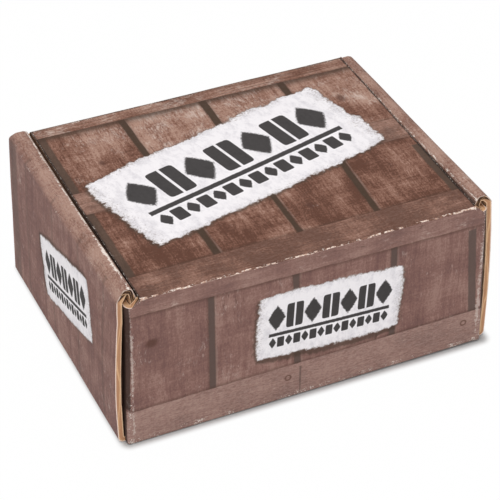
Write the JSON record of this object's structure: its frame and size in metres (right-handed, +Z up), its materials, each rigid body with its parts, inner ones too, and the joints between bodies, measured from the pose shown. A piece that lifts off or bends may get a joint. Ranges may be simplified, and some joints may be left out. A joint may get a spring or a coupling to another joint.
{
  "type": "tuck end box",
  "caption": "Corrugated mailing box with rolled double end walls and a hinged tuck-in lid, printed like a plank crate.",
  "frame": {"origin": "middle of the underside, on the plane that the box stands on", "axes": "+X along the two long walls, +Y towards the wall that carries the lid, -Y towards the wall that the lid tucks behind, +Z up"},
  "size_m": [0.2078, 0.158, 0.0945],
  "materials": {
    "printed_board": "matt print on white-lined kraft board",
    "kraft_liner": "bare kraft liner and cut board edges",
    "label_print": "printed pale label field"
  },
  "bodies": {
    "tray": {"tray": "printed_board"},
    "lid": {"lid": "printed_board"}
  },
  "joints": [
    {"name": "lid_hinge", "type": "hinge", "parent": "tray", "child": "lid", "pos_m": [0, 0.0781, 0.0886], "axis": [-1, 0, 0], "range_deg": [0, 180]}
  ]
}
